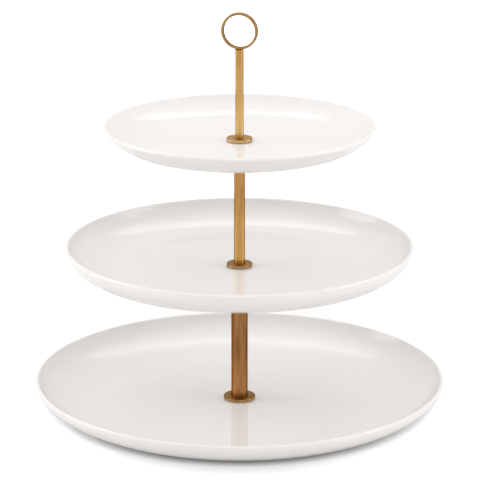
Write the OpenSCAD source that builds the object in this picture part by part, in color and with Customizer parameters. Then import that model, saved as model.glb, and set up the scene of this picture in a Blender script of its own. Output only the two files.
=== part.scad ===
// Three-tier cake stand: three drilled porcelain plates stacked on brass rods,
// with a flange over each plate and a finger ring on top.
// The axis of the rods is Z, and the bottom plate's foot ring stands on Z = 0.

/* [Bottom plate] */
// Outer diameter over the rim
bottom_plate_d = 300; // [250:1:380]
// Depth of the flat well below the rim
bottom_well_depth = 18.4; // [14:0.2:26]
// Diameter of the flat well
bottom_well_d = 182; // [140:1:210]
// Outer diameter of the foot ring
bottom_foot_d = 178; // [130:1:200]
// Outside curve: its fall and its lean below the rim, and its reach past the foot ring
bottom_outside = [13, 0, 25]; // [0:0.5:40]
// Inside curve: its fall and its lean below the rim, and its reach past the well
bottom_inside = [17, 8, 10]; // [0:0.5:40]
// Hole for the base screw
bottom_plate_hole_d = 8; // [7:0.1:12]

/* [Middle plate] */
// Outer diameter over the rim
middle_plate_d = 253; // [215:1:320]
// Depth of the flat well below the rim
middle_well_depth = 17.3; // [14:0.1:24]
// Diameter of the flat well
middle_well_d = 150; // [110:1:175]
// Height of the foot ring
middle_foot_h = 2.7; // [1.5:0.1:6]
// Outer diameter of the foot ring
middle_foot_d = 122; // [90:1:150]
// Outside curve: its fall and its lean below the rim, and its reach past the foot ring
middle_outside = [18, 2.5, 35]; // [0:0.5:40]
// Inside curve: its fall and its lean below the rim, and its reach past the well
middle_inside = [17, 4, 6]; // [0:0.5:40]
// Hole for the lower stud
middle_plate_hole_d = 7; // [6:0.1:11]

/* [Top plate] */
// Outer diameter over the rim
top_plate_d = 196; // [165:1:250]
// Depth of the flat well below the rim
top_well_depth = 12.4; // [10:0.1:18]
// Diameter of the flat well
top_well_d = 122; // [90:1:135]
// Height of the foot ring
top_foot_h = 2.8; // [1.5:0.1:6]
// Outer diameter of the foot ring
top_foot_d = 98; // [70:1:115]
// Outside curve: its fall and its lean below the rim, and its reach past the foot ring
top_outside = [10.5, 8, 33]; // [0:0.5:40]
// Inside curve: its fall and its lean below the rim, and its reach past the well
top_inside = [10, 9, 12]; // [0:0.5:40]
// Hole for the upper stud
top_plate_hole_d = 6; // [5:0.1:9]

/* [Porcelain] */
// Thickness of the plates at the well
plate_t = 4.6; // [3.6:0.1:6]
// Thickness of the rounded rim
rim_t = 3; // [2.2:0.1:4]
// Width of the foot ring where it leaves the plate
foot_w = 4; // [3:0.1:8]
// How far each side of the foot ring leans in
foot_lean = 0.6; // [0.2:0.1:1.2]

/* [Rods] */
// Diameter of the bottom rod, which is a tube
bottom_rod_d = 12; // [10:0.1:16]
// Wall of that tube
bottom_rod_wall = 1.2; // [0.8:0.1:1.8]
// Length of the bottom rod
bottom_rod_len = 93; // [70:0.5:140]
// Diameter of the middle rod
middle_rod_d = 8; // [7:0.1:12]
// Length of the middle rod
middle_rod_len = 85; // [60:0.5:130]
// Diameter of the top rod
top_rod_d = 6; // [5.2:0.1:10]
// Length of the top rod, up to the underside of the ring
top_rod_len = 64.6; // [40:0.2:110]
// Chamfer on the ends of the rods
rod_chamfer = 0.3; // [0.1:0.05:0.5]

/* [Finger ring] */
// Outer diameter of the ring
ring_d = 26.6; // [20:0.1:45]
// Thickness of the ring's band
ring_t = 1.8; // [1.2:0.1:3]
// Width of the band along the ring's axis
ring_w = 3; // [2:0.1:4.8]
// Rounding on the band's edges
ring_edge_r = 0.5; // [0.2:0.05:0.55]
// How far the rod's end reaches up round the band
ring_seat = 0.35; // [0.2:0.05:0.8]

/* [Flanges] */
// Diameter of the bottom flange
bottom_flange_d = 23; // [19:0.1:34]
// Diameter of the middle flange
middle_flange_d = 18.6; // [15:0.1:30]
// Diameter of the top flange
top_flange_d = 18.6; // [15:0.1:30]
// Thickness of the flanges
flange_t = 2; // [1.2:0.1:4]
// Chamfer on the flanges' edges
flange_chamfer = 0.25; // [0.1:0.05:0.5]

/* [Washers] */
// Thickness of the steel washers under the plates
washer_t = 1; // [0.6:0.1:1.6]
// Thickness of the soft washers under the plates
under_gasket_t = 0.8; // [0.5:0.1:1.2]
// Thickness of the soft washers under the flanges
upper_gasket_t = 0.5; // [0.3:0.1:1.2]
// Diameter of the steel washer under the bottom plate
base_washer_d = 20; // [16:0.5:30]
// Diameter of the steel washer on the bottom rod
middle_washer_d = 17; // [14:0.5:26]
// Diameter of the steel washer on the middle rod
top_washer_d = 14; // [12:0.5:24]
// How far a soft washer stays inside the edge of the metal that presses on it
gasket_inset = 0.8; // [0.3:0.1:1.5]

/* [Threads] */
// Thread diameter of the base screw
base_thread_d = 6; // [5:0.1:7.4]
// Length of the base screw under its head
base_screw_len = 16; // [14:0.5:22]
// Diameter of the base screw's head
base_head_d = 12; // [10:0.1:15]
// Height of the base screw's head
base_head_h = 2; // [1.6:0.1:3]
// Gap between that head and the table
base_head_gap = 1.7; // [1:0.1:4]
// Key size of the hexagon in that head
base_hex = 4; // [3:0.5:5]
// Depth of the hexagon
base_hex_depth = 1.3; // [0.8:0.1:1.4]
// Thread diameter of the lower stud
lower_thread_d = 5; // [4:0.1:6.2]
// Thread diameter of the upper stud
upper_thread_d = 4; // [3:0.1:4.8]
// Length of the lower stud
lower_stud_len = 28; // [24:0.5:34]
// Length of the upper stud
upper_stud_len = 25; // [22:0.5:32]
// Depth at which the lower stud is locked in the plug below it
lower_stud_set = 11; // [8:0.5:14]
// Depth at which the upper stud is locked in the middle rod
upper_stud_set = 9; // [7:0.5:12]
// Length of the tapped plugs in the bottom rod
plug_len = 15; // [12:0.5:20]
// Radial clearance of a thread that unscrews
thread_clearance = 0.05; // [0.02:0.01:0.09]
// Radial clearance of a screw or stud in the washers and flanges
hole_clearance = 0.2; // [0.1:0.05:0.4]
// Gap left past the end of a screw or stud in its tapped hole
end_gap = 1; // [0.4:0.1:2]
// Chamfer on the ends of screws and studs
thread_chamfer = 0.5; // [0.2:0.1:0.8]

/* [Hidden] */

// Cuts run this far past a face
eps = 0.1;
// Facets round a turned piece, and round a small hole
$fn = 96;
// Steps along each curve of a plate's section
curve_steps = 10;
// Steps along the round of the rim
rim_steps = 8;

// Colours
porcelain = "#f1efec";
light_brass = "#c9a05f";
brass = "#bf9550";
dark_brass = "#8e6238";
steel = "#b9bcc0";
soft_clear = "#dfe3e2";

// Heights of the stack, each from the piece below it
under_stack = washer_t + under_gasket_t;
base_washer_z = base_head_gap + base_head_h;
bottom_under_z = base_washer_z + under_stack;
bottom_well_z = bottom_under_z + plate_t;
bottom_flange_z = bottom_well_z + upper_gasket_t;
bottom_rod_z = bottom_flange_z + flange_t;
bottom_rod_top = bottom_rod_z + bottom_rod_len;

middle_under_z = bottom_rod_top + under_stack;
middle_well_z = middle_under_z + plate_t;
middle_flange_z = middle_well_z + upper_gasket_t;
middle_rod_z = middle_flange_z + flange_t;
middle_rod_top = middle_rod_z + middle_rod_len;

top_under_z = middle_rod_top + under_stack;
top_well_z = top_under_z + plate_t;
top_flange_z = top_well_z + upper_gasket_t;
top_rod_z = top_flange_z + flange_t;
ring_z = top_rod_z + top_rod_len + ring_d / 2;

// Ends of the threads
lower_stud_z = bottom_rod_top - lower_stud_set;
lower_stud_top = lower_stud_z + lower_stud_len;
upper_stud_z = middle_rod_top - upper_stud_set;
upper_stud_top = upper_stud_z + upper_stud_len;

tube_bore_d = bottom_rod_d - 2 * bottom_rod_wall;

// A point on a cubic curve with the four control points c, at u from 0 to 1
function on_curve(c, u) =
    pow(1 - u, 3) * c[0] + 3 * u * pow(1 - u, 2) * c[1]
    + 3 * u * u * (1 - u) * c[2] + pow(u, 3) * c[3];

function curve(c, n) = [for (i = [0:n]) on_curve(c, i / n)];

// How far a side leans from upright where it leaves the rim
function lean_angle(side) = atan2(side[1], side[0]);

function rim_point(centre, a) = centre + rim_t / 2 * [cos(a), sin(a)];

// Half of a plate's section, round the hole at the plate's middle. Its underside there is
// at height 0. The sides are a cubic each, and leave the round of the rim without a step.
function plate_section(d, depth, well_d, foot_d, foot_h, hole_d, outside, inside) =
    let (
        rim_centre = [d / 2 - rim_t / 2, plate_t + depth - rim_t / 2],
        inner_a = 180 - lean_angle(inside),
        outer_a = -lean_angle(outside),
        inner_top = rim_point(rim_centre, inner_a),
        outer_top = rim_point(rim_centre, outer_a),
        foot_top = [foot_d / 2, -foot_h / 2],
        well_edge = [well_d / 2, plate_t]
    )
    concat(
        [[hole_d / 2, 0], [hole_d / 2, plate_t]],
        curve([well_edge, well_edge + [inside[2], 0],
               inner_top - [inside[1], inside[0]], inner_top], curve_steps),
        [for (i = [1:rim_steps - 1])
            rim_point(rim_centre, inner_a + (outer_a - inner_a) * i / rim_steps)],
        curve([outer_top, outer_top - [outside[1], outside[0]],
               foot_top + [outside[2], 0], foot_top], curve_steps),
        [[foot_d / 2 - foot_lean, -foot_h],
         [foot_d / 2 - foot_w + foot_lean, -foot_h],
         [foot_d / 2 - foot_w, 0]]
    );

module plate(z, d, depth, well_d, foot_d, foot_h, hole_d, outside, inside) {
    translate([0, 0, z])
        rotate_extrude()
            polygon(plate_section(d, depth, well_d, foot_d, foot_h, hole_d,
                                  outside, inside));
}

// A turned disc with a hole and both outer edges chamfered
module disc(z, d, t, hole_d, chamfer) {
    translate([0, 0, z])
        rotate_extrude()
            polygon([[hole_d / 2, 0], [d / 2 - chamfer, 0], [d / 2, chamfer],
                     [d / 2, t - chamfer], [d / 2 - chamfer, t], [hole_d / 2, t]]);
}

// A plain flat ring, as a washer is
module washer(z, d, t, hole_d) {
    translate([0, 0, z])
        difference() {
            cylinder(h = t, d = d);
            translate([0, 0, -eps])
                cylinder(h = t + 2 * eps, d = hole_d);
        }
}

// A turned bar with both ends chamfered
module bar(z, d, len, chamfer) {
    translate([0, 0, z])
        rotate_extrude()
            polygon([[0, 0], [d / 2 - chamfer, 0], [d / 2, chamfer],
                     [d / 2, len - chamfer], [d / 2 - chamfer, len], [0, len]]);
}

// A round hole from one height to another
module bore(z0, z1, d) {
    translate([0, 0, z0])
        cylinder(h = z1 - z0, d = d);
}

module bottom_plate() {
    color(porcelain)
        plate(bottom_under_z, bottom_plate_d, bottom_well_depth, bottom_well_d,
              bottom_foot_d, bottom_under_z, bottom_plate_hole_d,
              bottom_outside, bottom_inside);
}

module middle_plate() {
    color(porcelain)
        plate(middle_under_z, middle_plate_d, middle_well_depth, middle_well_d,
              middle_foot_d, middle_foot_h, middle_plate_hole_d,
              middle_outside, middle_inside);
}

module top_plate() {
    color(porcelain)
        plate(top_under_z, top_plate_d, top_well_depth, top_well_d,
              top_foot_d, top_foot_h, top_plate_hole_d,
              top_outside, top_inside);
}

module bottom_flange() {
    color(brass)
        disc(bottom_flange_z, bottom_flange_d, flange_t,
             base_thread_d + 2 * hole_clearance, flange_chamfer);
}

module middle_flange() {
    color(brass)
        disc(middle_flange_z, middle_flange_d, flange_t,
             lower_thread_d + 2 * hole_clearance, flange_chamfer);
}

module top_flange() {
    color(brass)
        disc(top_flange_z, top_flange_d, flange_t,
             upper_thread_d + 2 * hole_clearance, flange_chamfer);
}

module bottom_rod() {
    color(dark_brass)
        difference() {
            bar(bottom_rod_z, bottom_rod_d, bottom_rod_len, rod_chamfer);
            bore(bottom_rod_z - eps, bottom_rod_top + eps, tube_bore_d);
        }
}

module bottom_rod_lower_plug() {
    color(brass)
        washer(bottom_rod_z, tube_bore_d, plug_len, base_thread_d + 2 * thread_clearance);
}

module bottom_rod_upper_plug() {
    color(brass)
        difference() {
            bore(bottom_rod_top - plug_len, bottom_rod_top, tube_bore_d);
            bore(lower_stud_z, bottom_rod_top + eps, lower_thread_d);
        }
}

module middle_rod() {
    color(brass)
        difference() {
            bar(middle_rod_z, middle_rod_d, middle_rod_len, rod_chamfer);
            bore(middle_rod_z - eps, lower_stud_top + end_gap,
                 lower_thread_d + 2 * thread_clearance);
            bore(upper_stud_z, middle_rod_top + eps, upper_thread_d);
        }
}

module top_rod() {
    color(light_brass)
        difference() {
            bar(top_rod_z, top_rod_d, top_rod_len + ring_seat, rod_chamfer);
            bore(top_rod_z - eps, upper_stud_top + end_gap,
                 upper_thread_d + 2 * thread_clearance);
            translate([0, top_rod_d, ring_z])
                rotate([90, 0, 0])
                    cylinder(h = 2 * top_rod_d, d = ring_d);
        }
}

module handle_ring() {
    half_w = ring_w / 2;
    color(light_brass)
        translate([0, 0, ring_z])
            rotate([90, 0, 0])
                rotate_extrude()
                    translate([ring_d / 2 - ring_t, 0])
                        polygon([[0, ring_edge_r - half_w],
                                 [ring_edge_r, -half_w],
                                 [ring_t - ring_edge_r, -half_w],
                                 [ring_t, ring_edge_r - half_w],
                                 [ring_t, half_w - ring_edge_r],
                                 [ring_t - ring_edge_r, half_w],
                                 [ring_edge_r, half_w],
                                 [0, half_w - ring_edge_r]]);
}

module base_screw() {
    color(steel)
        difference() {
            union() {
                bar(base_washer_z - eps, base_thread_d, base_screw_len + eps,
                    thread_chamfer);
                bar(base_head_gap, base_head_d, base_head_h, thread_chamfer);
            }
            translate([0, 0, base_head_gap - eps])
                cylinder(h = base_hex_depth + eps, d = base_hex / cos(30), $fn = 6);
        }
}

module lower_stud() {
    color(steel)
        bar(lower_stud_z, lower_thread_d, lower_stud_len, thread_chamfer);
}

module upper_stud() {
    color(steel)
        bar(upper_stud_z, upper_thread_d, upper_stud_len, thread_chamfer);
}

module base_washer() {
    color(steel)
        washer(base_washer_z, base_washer_d, washer_t,
               base_thread_d + 2 * hole_clearance);
}

module middle_under_washer() {
    color(steel)
        washer(bottom_rod_top, middle_washer_d, washer_t,
               lower_thread_d + 2 * hole_clearance);
}

module top_under_washer() {
    color(steel)
        washer(middle_rod_top, top_washer_d, washer_t,
               upper_thread_d + 2 * hole_clearance);
}

module base_under_gasket() {
    color(soft_clear)
        washer(bottom_under_z - under_gasket_t, base_washer_d - 2 * gasket_inset,
               under_gasket_t, base_thread_d + 2 * hole_clearance);
}

module middle_under_gasket() {
    color(soft_clear)
        washer(middle_under_z - under_gasket_t, middle_washer_d - 2 * gasket_inset,
               under_gasket_t, lower_thread_d + 2 * hole_clearance);
}

module top_under_gasket() {
    color(soft_clear)
        washer(top_under_z - under_gasket_t, top_washer_d - 2 * gasket_inset,
               under_gasket_t, upper_thread_d + 2 * hole_clearance);
}

module base_upper_gasket() {
    color(soft_clear)
        washer(bottom_well_z, bottom_flange_d - 2 * gasket_inset, upper_gasket_t,
               base_thread_d + 2 * hole_clearance);
}

module middle_upper_gasket() {
    color(soft_clear)
        washer(middle_well_z, middle_flange_d - 2 * gasket_inset, upper_gasket_t,
               lower_thread_d + 2 * hole_clearance);
}

module top_upper_gasket() {
    color(soft_clear)
        washer(top_well_z, top_flange_d - 2 * gasket_inset, upper_gasket_t,
               upper_thread_d + 2 * hole_clearance);
}

bottom_plate();
middle_plate();
top_plate();
bottom_flange();
middle_flange();
top_flange();
bottom_rod();
bottom_rod_lower_plug();
bottom_rod_upper_plug();
middle_rod();
top_rod();
handle_ring();
base_screw();
lower_stud();
upper_stud();
base_washer();
middle_under_washer();
top_under_washer();
base_under_gasket();
middle_under_gasket();
top_under_gasket();
base_upper_gasket();
middle_upper_gasket();
top_upper_gasket();
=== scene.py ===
"""The looks of a three-tier cake stand: glazed porcelain plates on brushed brass rods."""
import math

import bpy
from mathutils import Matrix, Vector


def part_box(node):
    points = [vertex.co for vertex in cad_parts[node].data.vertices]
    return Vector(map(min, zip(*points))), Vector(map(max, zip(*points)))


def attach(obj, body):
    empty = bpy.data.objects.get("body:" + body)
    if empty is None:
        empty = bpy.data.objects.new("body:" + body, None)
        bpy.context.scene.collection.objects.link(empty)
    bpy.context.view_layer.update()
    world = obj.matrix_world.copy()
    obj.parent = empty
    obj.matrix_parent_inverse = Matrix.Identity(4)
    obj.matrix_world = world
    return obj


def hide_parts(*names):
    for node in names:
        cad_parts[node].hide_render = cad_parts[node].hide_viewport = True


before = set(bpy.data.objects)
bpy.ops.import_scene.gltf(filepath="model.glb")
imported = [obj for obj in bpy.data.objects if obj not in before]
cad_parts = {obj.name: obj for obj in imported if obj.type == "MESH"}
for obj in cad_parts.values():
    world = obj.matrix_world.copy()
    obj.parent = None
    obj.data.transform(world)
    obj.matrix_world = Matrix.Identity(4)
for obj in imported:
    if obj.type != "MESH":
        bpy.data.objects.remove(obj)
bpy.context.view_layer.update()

MM = 0.001

# Sides round the turned pieces, and steps to a turn of a thread
PLATE_SIDES = 256
ROD_SIDES = 96
RING_SIDES = 160
THREAD_STEPS = 40

# Steps along the stretches of a plate's section
WELL_STEPS = 8
INNER_STEPS = 28
RIM_STEPS = 14
OUTER_STEPS = 32
UNDER_STEPS = 5

# Sizes that the frame's boxes don't give, in millimetres
RIM_T = 3.0
FOOT_W = 4.0
FOOT_LEAN = 0.6
FOOT_EDGE = 0.5
HOLE_EDGE = 0.35
ROD_EDGE = 0.3
BORE_EDGE = 0.15
TUBE_WALL = 1.2
FLANGE_EDGE = 0.25
FLANGE_BORE_EDGE = 0.1
PLUG_EDGE = 0.3
PLUG_BORE_EDGE = 0.2
WASHER_SHARP_EDGE, WASHER_ROUND_EDGE = 0.08, 0.25
GASKET_BULGE = 0.45   # of its thickness
HOLE_CLEARANCE = 0.2
THREAD_CLEARANCE = 0.05
END_GAP = 1.0
RING_T = 1.8
RING_EDGE = 0.5
HEX_KEY = 4.0
HEX_DEPTH = 1.3
HEAD_EDGE = 0.5
HEAD_SEAT_EDGE = 0.2
THREAD_EDGE = 0.5
THREAD_DEPTH = 0.61   # of the pitch
BASE_THREAD_R = 3.0
BASE_PITCH = 1.0
LOWER_PITCH = 0.8
UPPER_PITCH = 0.7

# Each plate: the flat well, the foot ring and the hole across, the two curves of its wall (fall and
# lean below the rim, then reach at the bottom), its body, and the soft washers under and over it
PLATES = {
    "bottom_plate": dict(well=182, foot=178, hole=8, inside=(17, 8, 10), outside=(13, 0, 25),
                         body="base", under="base_under_gasket", upper="base_upper_gasket"),
    "middle_plate": dict(well=150, foot=122, hole=7, inside=(17, 4, 6), outside=(18, 2.5, 35),
                         body="bottom_column", under="middle_under_gasket",
                         upper="middle_upper_gasket"),
    "top_plate": dict(well=122, foot=98, hole=6, inside=(10, 9, 12), outside=(10.5, 8, 33),
                      body="middle_column", under="top_under_gasket", upper="top_upper_gasket"),
}


# ---------------------------------------------------------------- shapes

def low_high(node):
    """A node's lowest and highest point, in millimetres."""
    low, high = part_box(node)
    return low.z / MM, high.z / MM


def radius_of(node):
    """Half of a node's width, in millimetres."""
    low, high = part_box(node)
    return (high.x - low.x) / 2 / MM


def start_clean():
    """Deselects everything, so that an operator meets only the new piece."""
    if bpy.context.object and bpy.context.object.mode != "OBJECT":
        bpy.ops.object.mode_set(mode="OBJECT")
    bpy.ops.object.select_all(action="DESELECT")


def rounded(corners, steps=3):
    """Section points from corners (r, z, radius of the corner). A plain (r, z) stays sharp."""
    points = []
    for i, corner in enumerate(corners):
        here = Vector(corner[:2])
        if len(corner) == 2:
            points.append(here)
            continue
        back = (Vector(corners[i - 1][:2]) - here).normalized() * corner[2]
        on = (Vector(corners[(i + 1) % len(corners)][:2]) - here).normalized() * corner[2]
        for k in range(steps + 1):
            t = k / steps
            points.append(here + back * (1 - t) ** 2 + on * t ** 2)
    return points


def curve(controls, steps):
    """Points on a cubic curve with four control points."""
    a, b, c, d = (Vector(p) for p in controls)
    for k in range(steps + 1):
        t = k / steps
        yield a * (1 - t) ** 3 + b * 3 * t * (1 - t) ** 2 + c * 3 * t * t * (1 - t) + d * t ** 3


def turned(name, section, sides, solid=False):
    """A turned piece. A circle at the section's first point is drawn out ring by ring along it.
    A solid one starts and ends as a flat disc. Any other section comes round to where it began."""
    points = [Vector(p) * MM for p in section]
    if not solid:
        points.append(points[0])
    start_clean()
    bpy.ops.mesh.primitive_circle_add(vertices=sides, radius=points[0].x,
                                      location=(0, 0, points[0].y),
                                      fill_type="TRIFAN" if solid else "NOTHING")
    piece = bpy.context.object
    piece.name = piece.data.name = name
    bpy.ops.object.mode_set(mode="EDIT")
    for here, there in zip(points, points[1:]):
        grow = there.x / here.x
        climb = (0, 0, there.y - here.y)
        bpy.ops.mesh.extrude_region_move(TRANSFORM_OT_translate={"value": climb})
        bpy.ops.transform.resize(value=(grow, grow, 1), center_override=(0, 0, there.y))
    bpy.ops.mesh.select_all(action="SELECT")
    bpy.ops.mesh.remove_doubles(threshold=0.002 * MM)
    bpy.ops.mesh.normals_make_consistent(inside=False)
    bpy.ops.object.mode_set(mode="OBJECT")
    bpy.ops.object.transform_apply()
    return piece


def combined(piece, tool, how):
    """Cuts the tool out of the piece, or joins it on, and drops the tool."""
    joint = piece.modifiers.new(how.title(), "BOOLEAN")
    joint.operation = how
    joint.object = tool
    start_clean()
    piece.select_set(True)
    bpy.context.view_layer.objects.active = piece
    bpy.ops.object.modifier_apply(modifier=joint.name)
    bpy.data.objects.remove(tool)
    return piece


def threaded(name, radius, low, high, pitch):
    """A right-hand threaded bar. One tooth is screwed up past both ends, then the bar is cut square
    and chamfered. The tooth starts off the turn, so that no corner lies on a cut."""
    depth = THREAD_DEPTH * pitch
    root_share = (radius - depth) / radius
    start = low - 2.0123 * pitch
    start_clean()
    bpy.ops.mesh.primitive_plane_add(size=pitch * MM)
    piece = bpy.context.object
    piece.name = piece.data.name = name
    bpy.ops.object.mode_set(mode="EDIT")
    bpy.ops.mesh.merge(type="CENTER")
    bpy.ops.transform.translate(value=((radius - depth) * MM, 0, start * MM))
    # Root, rising flank, crest and falling flank, in sixteenths of the pitch
    for out, up in ((0, 4), (depth, 5), (0, 2), (-depth, 5)):
        move = (out * MM, 0, up * pitch / 16 * MM)
        bpy.ops.mesh.extrude_region_move(TRANSFORM_OT_translate={"value": move})
    bpy.ops.object.mode_set(mode="OBJECT")
    helix = piece.modifiers.new("Thread", "SCREW")
    helix.axis = "Z"
    helix.screw_offset = pitch * MM
    helix.iterations = math.ceil((high - low) / pitch) + 3
    helix.steps = helix.render_steps = THREAD_STEPS
    bpy.ops.object.modifier_apply(modifier=helix.name)
    bpy.ops.object.mode_set(mode="EDIT")
    bpy.ops.mesh.select_all(action="SELECT")
    bpy.ops.mesh.remove_doubles(threshold=0.01 * MM)
    for end, up in ((low, 1), (high, -1)):
        cut = end + up * THREAD_EDGE
        bpy.ops.mesh.select_all(action="SELECT")
        bpy.ops.mesh.bisect(plane_co=(0, 0, cut * MM), plane_no=(0, 0, up), use_fill=True,
                            clear_inner=True, threshold=0.0001 * MM)
        chamfer = (0, 0, -up * THREAD_EDGE * MM)
        bpy.ops.mesh.extrude_region_move(TRANSFORM_OT_translate={"value": chamfer})
        bpy.ops.transform.resize(value=(root_share, root_share, 1), center_override=(0, 0, end * MM))
    bpy.ops.mesh.select_all(action="SELECT")
    bpy.ops.mesh.normals_make_consistent(inside=False)
    bpy.ops.object.mode_set(mode="OBJECT")
    return piece


def placed(piece, node, body, material, sharp=30):
    """Shades a piece smooth up to an angle, gives it its material and stands it for its CAD node."""
    start_clean()
    piece.select_set(True)
    bpy.context.view_layer.objects.active = piece
    bpy.ops.object.shade_smooth_by_angle(angle=math.radians(sharp))
    piece.data.materials.clear()
    piece.data.materials.append(material)
    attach(piece, body)
    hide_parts(node)


# ---------------------------------------------------------------- materials

def linear(hex_colour):
    """An sRGB hex colour as linear red, green, blue and 1."""
    parts = [int(hex_colour[i:i + 2], 16) / 255 for i in (1, 3, 5)]
    return [p / 12.92 if p <= 0.04045 else ((p + 0.055) / 1.055) ** 2.4 for p in parts] + [1]


def add(tree, kind, inputs=None, **settings):
    """Adds a node. Inputs, by name or place, are values, or sockets to link."""
    node = tree.nodes.new(kind)
    for key, value in settings.items():
        setattr(node, key, value)
    for key, value in (inputs or {}).items():
        if isinstance(value, bpy.types.NodeSocket):
            tree.links.new(value, node.inputs[key])
        else:
            node.inputs[key].default_value = value
    return node


def new_material(name):
    """An empty node material and its tree, with the output ready."""
    material = bpy.data.materials.new(name)
    material.use_nodes = True
    material.node_tree.nodes.clear()
    return material, material.node_tree


def noise(tree, place, size, detail):
    """Noise with features of about a size in millimetres."""
    inputs = {"Vector": place, "Scale": 1 / (size * MM), "Detail": detail}
    return add(tree, "ShaderNodeTexNoise", inputs).outputs["Fac"]


def scaled(tree, place, widths):
    """A place measured in widths, which are in millimetres along X, Y and Z."""
    inputs = {0: place, 1: [1 / (width * MM) for width in widths]}
    return add(tree, "ShaderNodeVectorMath", inputs, operation="MULTIPLY").outputs[0]


def ramp(tree, value, low, high, at_low, at_high, **settings):
    """Goes from one value to another as the value given goes from low to high."""
    inputs = {0: value, 1: low, 2: high, 3: at_low, 4: at_high}
    return add(tree, "ShaderNodeMapRange", inputs, **settings).outputs[0]


def mix(tree, amount, first, second):
    """The first colour, with an amount of the second."""
    inputs = {0: amount, 6: first, 7: second}
    return add(tree, "ShaderNodeMix", inputs, data_type="RGBA").outputs[2]


def finished(material, **inputs):
    """Gives a material its shader. An input's name has _ for a space."""
    tree = material.node_tree
    sockets = {name.replace("_", " "): value for name, value in inputs.items()}
    shader = add(tree, "ShaderNodeBsdfPrincipled", sockets)
    add(tree, "ShaderNodeOutputMaterial", {0: shader.outputs[0]})
    return material


def glazed_porcelain(name, foot_z):
    """Hard white porcelain, dip glazed and fired. The glaze gives the eye a glassy skin that is a
    little uneven, a rare dark iron speck, and a dry bare ring where the foot stood in the kiln."""
    material, tree = new_material(name)
    place = add(tree, "ShaderNodeTexCoord").outputs["Object"]
    # Glaze lies thicker and thinner over about 60 mm, and its colour with it
    cloud = noise(tree, place, 60, 2.0)
    body = mix(tree, cloud, linear("#e8e5e3"), linear("#e4e1de"))
    # Specks up to 0.9 mm across, in the few 10 mm cells whose middle the surface meets
    cells = add(tree, "ShaderNodeTexVoronoi", {"Vector": place, "Scale": 1 / (10 * MM)})
    speck = ramp(tree, cells.outputs["Distance"], 0.03, 0.045, 1.0, 0.0)
    pick = add(tree, "ShaderNodeSeparateColor", {0: cells.outputs["Color"]})
    some = add(tree, "ShaderNodeMath", {0: pick.outputs[0], 1: 0.72}, operation="GREATER_THAN")
    dark = add(tree, "ShaderNodeMath", {0: speck, 1: some.outputs[0]}, operation="MULTIPLY")
    specked = mix(tree, dark.outputs[0], body, linear("#75685c"))
    # The foot's face is wiped bare up to 0.15 mm above its lowest point, and glazed from 0.3 mm
    height = add(tree, "ShaderNodeSeparateXYZ", {0: place}).outputs["Z"]
    bare = ramp(tree, height, (foot_z + 0.15) * MM, (foot_z + 0.3) * MM, 1.0, 0.0)
    colour = mix(tree, bare, specked, linear("#ddd5c9"))
    dry = ramp(tree, bare, 0.0, 1.0, 0.05, 0.8)
    # Broad waves of 45 mm in the glaze, and an orange peel of 5 mm
    wave = noise(tree, place, 45, 1.0)
    peel = noise(tree, place, 5, 1.0)
    swell = add(tree, "ShaderNodeBump", {"Height": wave, "Strength": 1.0, "Distance": 0.12 * MM})
    skin = add(tree, "ShaderNodeBump", {"Height": peel, "Strength": 1.0, "Distance": 0.004 * MM,
                                        "Normal": swell.outputs[0]})
    return finished(material, Base_Color=colour, IOR=1.42, Roughness=dry, Normal=skin.outputs[0])


def brushed_brass(name, light, deep, rough, grain="along", centre=(0, 0, 0), turn=(0, 0, 0),
                  rise=None, edge="#8a6a42"):
    """Yellow brass with an antique stain, belt brushed and lacquered. The brushing gives the eye fine
    streaks, and the stain a slow change of brown. Over the rise, a lowest and a highest point with an
    amount for each, the colour goes from the one amount to the other; on the rods this is painted light
    and shade.
    The lacquer darkens the metal where it turns away."""
    material, tree = new_material(name)
    place = add(tree, "ShaderNodeTexCoord").outputs["Object"]
    own = add(tree, "ShaderNodeMapping", {"Vector": place, "Location": centre, "Rotation": turn},
              vector_type="TEXTURE").outputs[0]
    if grain == "along":
        # Scratches 0.4 mm wide and 30 mm long, drawn coarser than the real 0.05 mm ones to show
        stretch = scaled(tree, own, (0.4, 0.4, 30))
    else:
        # Turning marks 0.5 mm apart, round the piece's own axis, drawn coarser than the real ones
        parts = add(tree, "ShaderNodeSeparateXYZ", {0: own}).outputs
        flat = add(tree, "ShaderNodeCombineXYZ", {"X": parts["X"], "Y": parts["Y"]})
        reach = add(tree, "ShaderNodeVectorMath", {0: flat.outputs[0]}, operation="LENGTH")
        both = add(tree, "ShaderNodeCombineXYZ", {"X": reach.outputs["Value"], "Y": parts["Z"]})
        stretch = scaled(tree, both.outputs[0], (0.5, 0.5, 0.5))
    streak = add(tree, "ShaderNodeTexNoise",
                 {"Vector": stretch, "Scale": 1.0, "Detail": 3.0}).outputs["Fac"]
    # The stain changes over about 3 mm round the piece, and ten times slower along the brushing
    slow = scaled(tree, own, (3, 3, 30))
    stain = add(tree, "ShaderNodeTexNoise",
                {"Vector": slow, "Scale": 1.0, "Detail": 2.0}).outputs["Fac"]
    tone = ramp(tree, stain, 0.3, 0.7, 0.0, 0.6)
    depth = add(tree, "ShaderNodeMath", {0: streak, 1: 0.5, 2: tone},
                operation="MULTIPLY_ADD").outputs[0]
    # Painted light and shade: the colour is lighter or deeper with height, between the rise's two
    # points
    if rise:
        low, high, at_low, at_high = rise
        height = add(tree, "ShaderNodeSeparateXYZ", {0: place}).outputs["Z"]
        up = ramp(tree, height, low * MM, high * MM, at_low, at_high,
                  interpolation_type="SMOOTHSTEP")
        depth = add(tree, "ShaderNodeMath", {0: depth, 1: up}, operation="ADD").outputs[0]
    colour = mix(tree, depth, linear(light), linear(deep))
    dull = ramp(tree, streak, 0.3, 0.7, rough - 0.06, rough + 0.08)
    marks = add(tree, "ShaderNodeBump", {"Height": streak, "Strength": 0.5, "Distance": 0.02 * MM})
    return finished(material, Base_Color=colour, Metallic=1.0, Roughness=dull,
                    Normal=marks.outputs[0], Specular_Tint=linear(edge))


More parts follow.
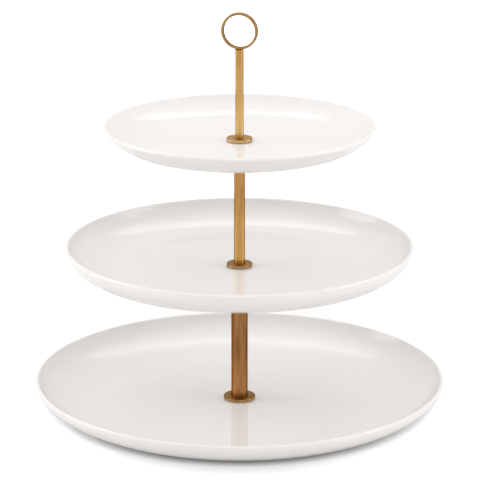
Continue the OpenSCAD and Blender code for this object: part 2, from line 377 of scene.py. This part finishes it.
def zinc_plated_steel(name):
    """Turned and rolled steel with bright zinc. The plating gives the eye a cool grey with a faint
    blue and straw cast, duller in patches."""
    material, tree = new_material(name)
    place = add(tree, "ShaderNodeTexCoord").outputs["Object"]
    patch = noise(tree, place, 3, 3.0)
    colour = mix(tree, patch, linear("#c3c8cf"), linear("#bdb9aa"))
    dull = ramp(tree, patch, 0.3, 0.7, 0.24, 0.42)
    return finished(material, Base_Color=colour, Metallic=1.0, Roughness=dull)


def clear_vinyl(name):
    """Soft clear PVC, stamped from sheet. It gives the eye a waxy, slightly milky disc with a satin
    skin."""
    material, tree = new_material(name)
    place = add(tree, "ShaderNodeTexCoord").outputs["Object"]
    haze = noise(tree, place, 2, 2.0)
    colour = mix(tree, haze, linear("#dfe3df"), linear("#cfd3cd"))
    skin = add(tree, "ShaderNodeBump", {"Height": haze, "Strength": 0.4, "Distance": 0.02 * MM})
    return finished(material, Base_Color=colour, Roughness=0.4, IOR=1.53, Transmission_Weight=0.35,
                    Normal=skin.outputs[0])


# ---------------------------------------------------------------- plates

def plate_section(node, well, foot, hole, inside, outside, under_z, well_z):
    """The closed section of a coupe plate: hole, flat well, inner wall, round rim, outer wall, foot
    ring. The flat stretches have points between their ends, so that no face is long and thin."""
    foot_z, rim_z = low_high(node)
    half = RIM_T / 2
    centre = Vector((radius_of(node) - half, rim_z - half))
    inner_a = math.pi - math.atan2(inside[1], inside[0])
    outer_a = -math.atan2(outside[1], outside[0])
    hole_r, well_r, foot_r = hole / 2, well / 2, foot / 2
    foot_inner = foot_r - FOOT_W

    def on_rim(angle):
        return centre + half * Vector((math.cos(angle), math.sin(angle)))

    well_edge = Vector((well_r, well_z))
    inner_top, outer_top = on_rim(inner_a), on_rim(outer_a)
    foot_top = Vector((foot_r, (foot_z + under_z) / 2))
    section = rounded([(hole_r, under_z, HOLE_EDGE), (hole_r, well_z, HOLE_EDGE),
                       (foot_r / 2, well_z)])[:-1]
    section += [Vector((hole_r + (well_r - hole_r) * k / WELL_STEPS, well_z))
                for k in range(1, WELL_STEPS)]
    section += curve([well_edge, well_edge + Vector((inside[2], 0)),
                      inner_top - Vector((inside[1], inside[0])), inner_top], INNER_STEPS)
    section += [on_rim(inner_a + (outer_a - inner_a) * k / RIM_STEPS) for k in range(1, RIM_STEPS)]
    section += curve([outer_top, outer_top - Vector((outside[1], outside[0])),
                      foot_top + Vector((outside[2], 0)), foot_top], OUTER_STEPS)
    section += rounded([foot_top, (foot_r - FOOT_LEAN, foot_z, FOOT_EDGE),
                        (foot_inner + FOOT_LEAN, foot_z, FOOT_EDGE), (foot_inner, under_z, 0.4),
                        (hole_r + 1, under_z)])[1:-1]
    section += [Vector((foot_inner - (foot_inner - hole_r - 2) * k / UNDER_STEPS, under_z))
                for k in range(1, UNDER_STEPS)]
    return section


def plate(node, body, under, upper, **sizes):
    """One porcelain plate, glazed all over but for the foot's face."""
    section = plate_section(node, under_z=low_high(under)[1], well_z=low_high(upper)[0], **sizes)
    piece = turned(node.replace("_plate", "_porcelain_plate"), section, PLATE_SIDES)
    glaze = glazed_porcelain("glazed_porcelain_" + node, low_high(node)[0])
    placed(piece, node, body, glaze, sharp=45)


for plate_node, sizes in PLATES.items():
    plate(plate_node, **sizes)


# ---------------------------------------------------------------- rods, flanges and ring

# The light and the deep colour of each brass piece. The same brass is painted deeper on the lower rods
# and flanges: painted shade under the plates above them
LIGHT_BRASS = ("#e4c185", "#b98d52")
HALF_SHADED_BRASS = ("#e2b772", "#b0824a")
SHADED_BRASS = ("#bb8a55", "#865b38")
RING_BRASS = ("#c09a62", "#946f42")
PLUG_BRASS = ("#d9b976", "#bf9a55")
# Painted shade: the middle and bottom flanges, each under a plate, are deeper than the open top one
FLANGE_BRASS = {"top_flange": ("#e0b97a", "#b0906a"), "middle_flange": ("#bd9763", "#917250"),
                "bottom_flange": ("#c0995f", "#80623f")}


def bottom_rod():
    """A drawn brass tube, with a plug pressed in each end."""
    low, high = low_high("bottom_rod")
    outer = radius_of("bottom_rod")
    inner = outer - TUBE_WALL
    section = rounded([(inner, low, BORE_EDGE), (outer, low, ROD_EDGE),
                       (outer, high, ROD_EDGE), (inner, high, BORE_EDGE)])
    piece = turned("bottom_rod_tube", section, ROD_SIDES)
    # Painted light: lighter at the foot, where the bright bottom plate lights it, and deeper from 45 mm
    # up
    brass_material = brushed_brass("brushed_brass_shaded", *SHADED_BRASS, 0.34, rise=(low, low + 45, -0.5, 0.15))
    placed(piece, "bottom_rod", "bottom_column", brass_material)


def middle_rod():
    """A solid brass rod, tapped from below for the lower stud and drilled above for the upper one."""
    low, high = low_high("middle_rod")
    outer = radius_of("middle_rod")
    tapped = radius_of("lower_stud") + THREAD_CLEARANCE
    tapped_end = low_high("lower_stud")[1] + END_GAP
    drilled = radius_of("upper_stud")
    drilled_end = low_high("upper_stud")[0]
    section = rounded([(tapped, tapped_end), (tapped, low, BORE_EDGE), (outer, low, ROD_EDGE),
                       (outer, high, ROD_EDGE), (drilled, high, BORE_EDGE), (drilled, drilled_end)])
    piece = turned("middle_rod_bar", section, ROD_SIDES, solid=True)
    # Painted light and shade: lighter at the foot, where the bright middle plate lights it, and deeper
    # at the top, in the top plate's shade
    brass_material = brushed_brass("brushed_brass_half_shaded", *HALF_SHADED_BRASS, 0.32, rise=(low, high, -0.25, 0.45))
    placed(piece, "middle_rod", "middle_column", brass_material)


def top_rod():
    """A solid brass rod, tapped from below, its upper end scooped to seat the finger ring."""
    low, high = low_high("top_rod")
    outer = radius_of("top_rod")
    tapped = radius_of("upper_stud") + THREAD_CLEARANCE
    tapped_end = low_high("upper_stud")[1] + END_GAP
    section = rounded([(tapped, tapped_end), (tapped, low, BORE_EDGE), (outer, low, ROD_EDGE),
                       (outer, high, ROD_EDGE)])
    section.append(Vector((outer / 3, high)))
    piece = turned("top_rod_bar", section, ROD_SIDES, solid=True)
    ring_low, ring_high = low_high("handle_ring")
    start_clean()
    bpy.ops.mesh.primitive_cylinder_add(vertices=2 * RING_SIDES, radius=(ring_high - ring_low) / 2 * MM,
                                        depth=4 * outer * MM,
                                        location=(0, 0, (ring_low + ring_high) / 2 * MM),
                                        rotation=(math.pi / 2, 0, 0))
    combined(piece, bpy.context.object, "DIFFERENCE")
    # Painted light: lighter at the foot, where the bright top plate lights it, and deeper towards the
    # top
    brass_material = brushed_brass("brushed_brass_light", *LIGHT_BRASS, 0.3, rise=(low, high, -0.25, 0.45))
    placed(piece, "top_rod", "handle", brass_material)


def handle_ring():
    """A flat brass band bent round to a ring, its edges rounded over."""
    low, high = low_high("handle_ring")
    centre = (low + high) / 2
    outer = (high - low) / 2
    inner = outer - RING_T
    half_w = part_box("handle_ring")[1].y / MM
    section = rounded([(inner, -half_w, RING_EDGE), (outer, -half_w, RING_EDGE),
                       (outer, half_w, RING_EDGE), (inner, half_w, RING_EDGE)], steps=5)
    piece = turned("finger_ring", section, RING_SIDES)
    piece.rotation_euler.x = math.pi / 2
    piece.location.z = centre * MM
    bpy.ops.object.transform_apply()
    brass_material = brushed_brass("brushed_brass_ring", *RING_BRASS, 0.3, grain="round",
                            centre=(0, 0, centre * MM), turn=(math.pi / 2, 0, 0), edge="#5e4a34")
    placed(piece, "handle_ring", "handle", brass_material)


def flange(node, body, thread_r):
    """A turned brass disc, both outer edges broken."""
    low, high = low_high(node)
    outer = radius_of(node)
    inner = thread_r + HOLE_CLEARANCE
    section = rounded([(inner, low, FLANGE_BORE_EDGE), (outer, low, FLANGE_EDGE),
                       (outer, high, FLANGE_EDGE), (inner, high, FLANGE_BORE_EDGE)])
    piece = turned(node + "_disc", section, ROD_SIDES)
    # The top face is coloured deeper than the edge
    brass_material = brushed_brass("turned_brass_" + node, *FLANGE_BRASS[node], 0.3, grain="round",
                            rise=(high - 0.35, high - 0.1, -0.3, 0.35), edge="#e0d2c0")
    placed(piece, node, body, brass_material)


def base_screw():
    """A low-headed M6 screw with a hexagon socket, its head down."""
    low, high = low_high("base_screw")
    head_r = radius_of("base_screw")
    seat = low_high("base_washer")[0]
    section = rounded([(head_r / 3, low), (head_r, low, HEAD_EDGE),
                       (head_r, seat, HEAD_SEAT_EDGE), (head_r / 3, seat)])
    head = turned("base_screw_bolt", section, ROD_SIDES, solid=True)
    start_clean()
    bpy.ops.mesh.primitive_cylinder_add(vertices=6, radius=HEX_KEY / math.sqrt(3) * MM,
                                        depth=2 * HEX_DEPTH * MM, location=(0, 0, low * MM))
    combined(head, bpy.context.object, "DIFFERENCE")
    shank = threaded("base_screw_shank", BASE_THREAD_R, seat - THREAD_EDGE, high, BASE_PITCH)
    combined(head, shank, "UNION")
    placed(head, "base_screw", "base", zinc)


def stud(node, body, pitch):
    """A length of threaded steel rod, locked in the piece below it."""
    low, high = low_high(node)
    piece = threaded(node + "_rod", radius_of(node), low, high, pitch)
    placed(piece, node, body, zinc)


def plug(node, hole_r, through):
    """A turned brass plug with a threaded hole."""
    low, high = low_high(node)
    outer = radius_of(node)
    start = [(hole_r, low, PLUG_BORE_EDGE)] if through else [(outer / 3, low)]
    end = [] if through else [(hole_r, low_high("lower_stud")[0])]
    section = rounded(start + [(outer, low, PLUG_EDGE), (outer, high, PLUG_EDGE),
                               (hole_r, high, PLUG_BORE_EDGE)] + end)
    piece = turned(node + "_turned", section, ROD_SIDES, solid=not through)
    placed(piece, node, "bottom_column", plug_brass)


def flat_washer(node, body, hole_r):
    """A stamped steel washer, rounded by the punch on one side and sharper on the other."""
    low, high = low_high(node)
    outer = radius_of(node)
    section = rounded([(hole_r, low, 0.06), (outer, low, WASHER_SHARP_EDGE),
                       (outer, high, WASHER_ROUND_EDGE), (hole_r, high, 0.2)])
    piece = turned(node + "_stamped", section, ROD_SIDES)
    placed(piece, node, body, zinc)


def soft_washer(node, body, hole_r):
    """A clear vinyl washer, its outer edge pressed out to a bulge."""
    low, high = low_high(node)
    outer = radius_of(node)
    bulge = (high - low) * GASKET_BULGE
    section = rounded([(hole_r, low, 0.05), (outer, low, bulge), (outer, high, bulge),
                       (hole_r, high, 0.05)], steps=5)
    piece = turned(node + "_vinyl", section, ROD_SIDES)
    placed(piece, node, body, vinyl)


zinc = zinc_plated_steel("zinc_plated_steel")
vinyl = clear_vinyl("clear_soft_vinyl")
plug_brass = brushed_brass("turned_plain_brass", *PLUG_BRASS, 0.28, grain="round", edge="#e8dcc4")
lower_r, upper_r = radius_of("lower_stud"), radius_of("upper_stud")

bottom_rod()
middle_rod()
top_rod()
handle_ring()
flange("bottom_flange", "bottom_collar", BASE_THREAD_R)
flange("middle_flange", "middle_collar", lower_r)
flange("top_flange", "top_collar", upper_r)
base_screw()
stud("lower_stud", "bottom_column", LOWER_PITCH)
stud("upper_stud", "middle_column", UPPER_PITCH)
plug("bottom_rod_lower_plug", BASE_THREAD_R + THREAD_CLEARANCE, through=True)
plug("bottom_rod_upper_plug", lower_r, through=False)
for level, below, collar, thread_r in (("base", "base", "bottom_collar", BASE_THREAD_R),
                                       ("middle", "bottom_column", "middle_collar", lower_r),
                                       ("top", "middle_column", "top_collar", upper_r)):
    washer_node = "base_washer" if level == "base" else level + "_under_washer"
    flat_washer(washer_node, below, thread_r + HOLE_CLEARANCE)
    soft_washer(level + "_under_gasket", below, thread_r + HOLE_CLEARANCE)
    soft_washer(level + "_upper_gasket", collar, thread_r + HOLE_CLEARANCE)


# ---------------------------------------------------------------- studio

TABLE_SIZE = 80

# The view: where it looks from and at in metres, round from -Y and up in degrees, and the lens
VIEW_TARGET = (0, 0, 0.1317)
VIEW_DISTANCE = 1.919
VIEW_ROUND, VIEW_RISE = 13.5, 16.33
LENS, SENSOR = 198.15, 36
VIEW_SHIFT = 0.001

# Softboxes: place and aim in metres, width, height and power
SOFTBOXES = {
    "left": ((-2.0, -0.3, 1.0), (0, 0, 0.15), 1.2, 1.6, 15),
    "right": ((2.0, 0.1, 1.0), (0, 0, 0.15), 1.2, 1.6, 12),
    "front": ((0.3, -1.9, 2.0), (0, 0, 0.1), 1.4, 1.0, 7),
    "back": ((-0.2, 1.9, 2.0), (0, 0, 0.1), 1.6, 0.7, 3),
}


def floor():
    """A plain white table top, far wider than the view."""
    material, tree = new_material("white_table")
    finished(material, Base_Color=linear("#ebebeb"), Roughness=0.9)
    start_clean()
    bpy.ops.mesh.primitive_plane_add(size=TABLE_SIZE, location=(0, 0, 0))
    top = bpy.context.object
    top.name = "table_top"
    top.data.materials.append(material)
    return top


def direction(round_z, rise):
    """The way to a point turned round from -Y towards +X and up from the table, in degrees."""
    round_z, rise = math.radians(round_z), math.radians(rise)
    return Vector((math.sin(round_z) * math.cos(rise), -math.cos(round_z) * math.cos(rise),
                   math.sin(rise)))


def softbox(name, place, aim, width, height, power):
    """A rectangular diffused lamp at a place, turned to an aim."""
    lamp = bpy.data.lights.new(name, "AREA")
    lamp.shape = "RECTANGLE"
    lamp.size, lamp.size_y = width, height
    lamp.energy = power
    box = bpy.data.objects.new(name, lamp)
    box.location = place
    box.rotation_euler = (Vector(aim) - Vector(place)).to_track_quat("-Z", "Y").to_euler()
    bpy.context.scene.collection.objects.link(box)


def far_lamp(name, round_z, rise, spread, power):
    """A lamp far off that fills a patch of the sky, its spread in degrees."""
    lamp = bpy.data.lights.new(name, "SUN")
    lamp.angle = math.radians(spread)
    lamp.energy = power
    far = bpy.data.objects.new(name, lamp)
    far.rotation_euler = direction(round_z, rise).to_track_quat("Z", "Y").to_euler()
    bpy.context.scene.collection.objects.link(far)
    return far


def camera():
    """A long lens a little above the stand, moved round towards +X."""
    target = Vector(VIEW_TARGET)
    data = bpy.data.cameras.new("camera")
    data.lens = LENS
    data.sensor_width = SENSOR
    data.clip_end = 50
    data.shift_x = VIEW_SHIFT
    eye = bpy.data.objects.new("camera", data)
    eye.location = target + VIEW_DISTANCE * direction(VIEW_ROUND, VIEW_RISE)
    eye.rotation_euler = (target - eye.location).to_track_quat("-Z", "Y").to_euler()
    bpy.context.scene.collection.objects.link(eye)
    bpy.context.scene.camera = eye


def studio_light(table):
    """Soft white light from all round, a softbox at each side, diffusers in front and behind, and a
    low wash that falls on the table alone, to keep it white up to the stand."""
    world = bpy.data.worlds.new("studio")
    bpy.context.scene.world = world
    world.use_nodes = True
    world.node_tree.nodes.clear()
    glow = add(world.node_tree, "ShaderNodeBackground", {"Color": linear("#ffffff"), "Strength": 0.88})
    add(world.node_tree, "ShaderNodeOutputWorld", {0: glow.outputs[0]})
    for name, box in SOFTBOXES.items():
        softbox(name, *box)
    far_lamp("high_back", round_z=193, rise=60, spread=50, power=0.28)
    wash = far_lamp("table_wash", round_z=13.5, rise=26, spread=14, power=5.0)
    lit = bpy.data.collections.new("table")
    lit.objects.link(table)
    wash.light_linking.receiver_collection = lit
    wash.data.cycles.max_bounces = 0
    bpy.context.scene.view_settings.view_transform = "Standard"


camera()
studio_light(floor())
